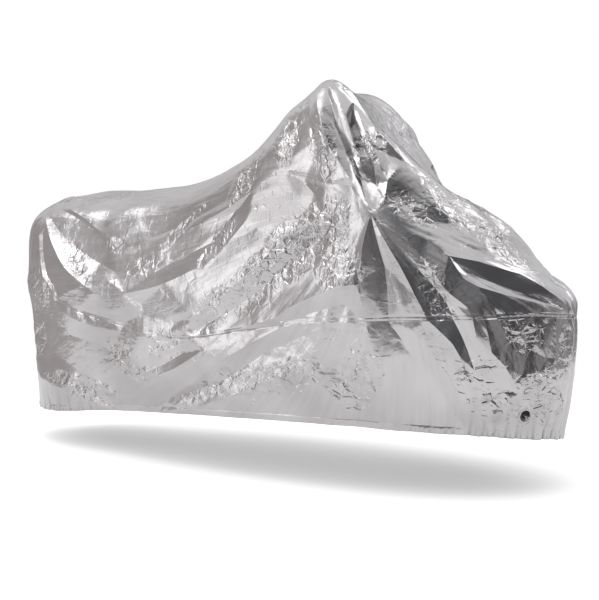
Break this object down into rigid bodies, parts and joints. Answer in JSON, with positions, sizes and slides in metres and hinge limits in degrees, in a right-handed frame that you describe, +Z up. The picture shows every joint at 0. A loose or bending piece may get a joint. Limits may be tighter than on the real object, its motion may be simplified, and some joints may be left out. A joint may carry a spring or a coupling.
{
  "type": "motorcycle cover",
  "caption": "Fitted motorcycle cover of thin silver film, hanging in folds as over a parked machine, with a gathered hem and a lock eyelet low on each side.",
  "frame": {"origin": "on the centre plane, at the underside of the film over the tank, where the machine carries the cover; the ground is 1.0555 m below it", "axes": "+X towards the motorcycle's front, +Y towards its left side, +Z up"},
  "size_m": [2.1145, 0.817, 1.1423],
  "materials": {
    "film": "thin metallised film, crumpled, satin silver",
    "eyelet": "pale plastic ring"
  },
  "bodies": {
    "root": {"upper_film": "film", "lower_skirt": "film", "right_eyelet": "eyelet", "left_eyelet": "eyelet"}
  },
  "joints": []
}
